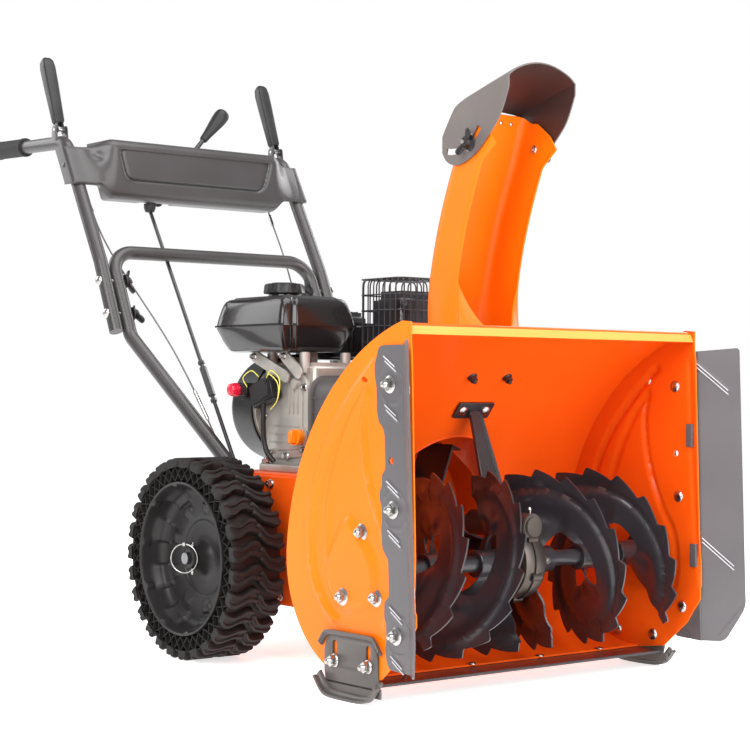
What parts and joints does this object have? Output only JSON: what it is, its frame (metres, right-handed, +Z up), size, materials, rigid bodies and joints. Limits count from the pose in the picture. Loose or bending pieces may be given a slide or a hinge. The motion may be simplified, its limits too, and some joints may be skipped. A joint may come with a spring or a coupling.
{
  "type": "two stage snowblower",
  "caption": "Walk-behind two stage snowblower: open auger housing with serrated augers, impeller, turning chute with tilting hood, engine, friction drive, lugged wheels and handlebars",
  "frame": {"origin": "on the ground, at the middle of the machine's length and width", "axes": "+Z up, the auger housing faces -Y, the handlebars point to +Y, the machine's own left side is +X"},
  "size_m": [0.6758, 1.4141, 1.0673],
  "materials": {
    "orange_paint": "glossy orange powder coat",
    "taupe_paint": "satin dark taupe powder coat",
    "grey_paint": "satin cool grey powder coat",
    "black_steel": "satin black paint on steel",
    "bare_steel": "machined steel",
    "zinc_steel": "zinc plated",
    "cast_aluminium": "as cast",
    "black_plastic": "matte moulded",
    "grey_plastic": "matte moulded",
    "gloss_black": "gloss black",
    "rim_plastic": "satin moulded",
    "cable_sheath": "smooth cable outer",
    "tyre_rubber": "matte rubber",
    "grip_rubber": "matte rubber",
    "belt_rubber": "matte rubber",
    "red_plastic": "gloss moulded",
    "orange_plastic": "satin moulded"
  },
  "bodies": {
    "frame": {"auger_housing": "orange_paint", "side_plate_left": "orange_paint", "side_plate_right": "orange_paint", "impeller_drum": "orange_paint", "chute_keeper": "black_plastic", "scraper_bar": "black_steel", "gearbox_support": "black_steel", "auger_gearbox": "cast_aluminium", "auger_bearing_left": "black_steel", "auger_bearing_right": "black_steel", "extension_wing_left": "grey_paint", "extension_wing_right": "grey_paint", "transmission_frame": "orange_paint", "belt_cover": "grey_plastic", "auger_belt": "belt_rubber", "drive_belt": "belt_rubber", "engine_block": "cast_aluminium", "recoil_cover": "gloss_black", "fuel_tank": "gloss_black", "muffler": "black_steel", "muffler_guard": "black_steel", "carburettor_cover": "black_plastic", "lower_handle": "taupe_paint", "upper_handle_left": "taupe_paint", "upper_handle_right": "taupe_paint", "grip_left": "grip_rubber", "grip_right": "grip_rubber", "dashboard": "taupe_paint", "clutch_cable_left": "cable_sheath", "clutch_cable_right": "cable_sheath"},
    "auger": {"auger_shaft": "bare_steel", "worm_wheel": "bare_steel", "auger_left": "black_steel", "auger_right": "black_steel"},
    "impeller": {"impeller": "black_steel", "impeller_shaft": "bare_steel"},
    "engine_crank": {"crankshaft": "bare_steel"},
    "drive_disc": {"friction_disc": "bare_steel"},
    "friction_wheel": {"friction_wheel": "bare_steel"},
    "wheels": {"axle": "bare_steel", "wheel_rim_left": "rim_plastic", "wheel_rim_right": "rim_plastic", "tyre_left": "tyre_rubber", "tyre_right": "tyre_rubber", "klick_pin_left": "zinc_steel", "klick_pin_right": "zinc_steel"},
    "chute": {"chute": "orange_paint", "hood_wing_nut_left": "black_plastic", "hood_wing_nut_right": "black_plastic"},
    "hood": {"chute_hood": "taupe_paint"},
    "auger_lever": {"auger_lever": "black_steel"},
    "drive_lever": {"drive_lever": "black_steel"},
    "shift_lever": {"shift_lever": "black_plastic"},
    "shift_rod": {"shift_rod": "black_steel"},
    "right_shoe": {"skid_shoe_right": "taupe_paint"},
    "left_shoe": {"skid_shoe_left": "taupe_paint"},
    "tank_cap": {"tank_cap": "black_plastic"},
    "dipstick": {"dipstick": "orange_plastic"},
    "stop_switch": {"stop_switch": "red_plastic"},
    "starter_grip": {"starter_grip": "black_plastic"}
  },
  "joints": [
    {"name": "wheel_roll", "type": "hinge", "parent": "frame", "child": "wheels", "pos_m": [0, -0.0388, 0.165], "axis": [1, 0, 0], "continuous": true},
    {"name": "auger_spin", "type": "hinge", "parent": "frame", "child": "auger", "pos_m": [0, -0.5243, 0.183], "axis": [1, 0, 0], "continuous": true},
    {"name": "impeller_spin", "type": "hinge", "parent": "frame", "child": "impeller", "pos_m": [0, -0.3013, 0.238], "axis": [0, 1, 0], "continuous": true},
    {"name": "crank_spin", "type": "hinge", "parent": "frame", "child": "engine_crank", "pos_m": [0, -0.1013, 0.41], "axis": [0, 1, 0], "continuous": true},
    {"name": "drive_disc_spin", "type": "hinge", "parent": "frame", "child": "drive_disc", "pos_m": [0, -0.1213, 0.2], "axis": [0, 1, 0], "continuous": true},
    {"name": "friction_wheel_spin", "type": "hinge", "parent": "frame", "child": "friction_wheel", "pos_m": [0, -0.0763, 0.2], "axis": [1, 0, 0], "continuous": true},
    {"name": "chute_turn", "type": "hinge", "parent": "frame", "child": "chute", "pos_m": [0.07, -0.3586, 0.45], "axis": [0, 0, 1], "range_deg": [-95, 95]},
    {"name": "hood_tilt", "type": "hinge", "parent": "chute", "child": "hood", "pos_m": [0.07, -0.3878, 0.8905], "axis": [1, 0, 0], "range_deg": [-42, 22]},
    {"name": "auger_lever_press", "type": "hinge", "parent": "frame", "child": "auger_lever", "pos_m": [-0.2455, 0.4547, 0.924], "axis": [1, 0, 0], "range_deg": [-62, 0], "stiffness_Nm_per_rad": 0.5, "springref_deg": 40.11},
    {"name": "drive_lever_press", "type": "hinge", "parent": "frame", "child": "drive_lever", "pos_m": [0.2455, 0.4547, 0.924], "axis": [1, 0, 0], "range_deg": [-62, 0], "stiffness_Nm_per_rad": 0.5, "springref_deg": 40.11},
    {"name": "shift_lever_swing", "type": "hinge", "parent": "frame", "child": "shift_lever", "pos_m": [-0.062, 0.4137, 0.8], "axis": [0, 1, 0], "range_deg": [-60, 8]},
    {"name": "shift_rod_slide", "type": "slide", "parent": "frame", "child": "shift_rod", "axis": [0.0651, 0.6002, 0.7972], "range_m": [-0.0215, 0.004]},
    {"name": "right_shoe_height", "type": "slide", "parent": "frame", "child": "right_shoe", "axis": [0, 0, 1], "range_m": [-0.025, 0]},
    {"name": "left_shoe_height", "type": "slide", "parent": "frame", "child": "left_shoe", "axis": [0, 0, 1], "range_m": [-0.025, 0]},
    {"name": "tank_cap_turn", "type": "hinge", "parent": "frame", "child": "tank_cap", "pos_m": [-0.05, 0.0052, 0.61], "axis": [0, 0, 1], "range_deg": [0, 90]},
    {"name": "dipstick_turn", "type": "hinge", "parent": "frame", "child": "dipstick", "pos_m": [-0.09, -0.0893, 0.362], "axis": [1, 0, 0], "range_deg": [0, 180]},
    {"name": "stop_switch_turn", "type": "hinge", "parent": "frame", "child": "stop_switch", "pos_m": [-0.112, 0.0667, 0.441], "axis": [1, 0, 0], "range_deg": [0, 60]},
    {"name": "starter_pull", "type": "slide", "parent": "frame", "child": "starter_grip", "axis": [0, 1, 0], "range_m": [0, 0.04], "stiffness_N_per_m": 60, "springref_m": -0.03}
  ],
  "couplings": [
    {"joint": "impeller_spin", "follows": "auger_spin", "ratio": 14},
    {"joint": "friction_wheel_spin", "follows": "wheel_roll", "ratio": -1.4634},
    {"joint": "shift_rod_slide", "follows": "shift_lever_swing", "m_per_rad": 0.02}
  ]
}
